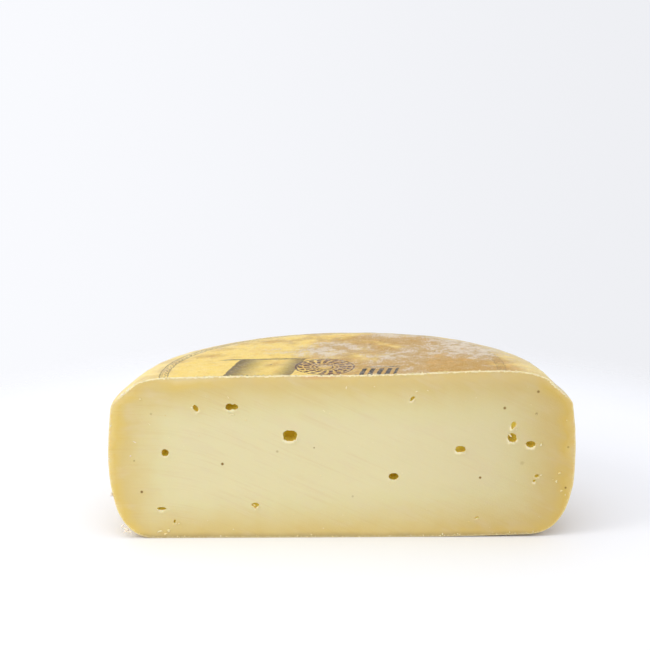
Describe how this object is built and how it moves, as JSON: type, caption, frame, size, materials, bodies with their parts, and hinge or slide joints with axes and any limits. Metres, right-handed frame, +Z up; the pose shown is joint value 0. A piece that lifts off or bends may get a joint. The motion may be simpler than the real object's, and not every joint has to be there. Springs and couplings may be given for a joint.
{
  "type": "half cheese wheel",
  "caption": "Half of a farmhouse cheese wheel, cut down through its axis, standing on its flat base, with a slanting shoulder, round foot and small eyes in the cut face.",
  "frame": {"origin": "on the base plane, under the middle of the half wheel's bounding box", "axes": "+Z up from the base to the top of the wheel, +X along the width of the cut, and -Y is the way the cut face looks"},
  "size_m": [0.2544, 0.1266, 0.0954],
  "materials": {
    "cheese": "satin, pale cream paste on the cut face and a golden coated rind round it"
  },
  "bodies": {
    "root": {"cheese_half_wheel": "cheese"}
  },
  "joints": []
}
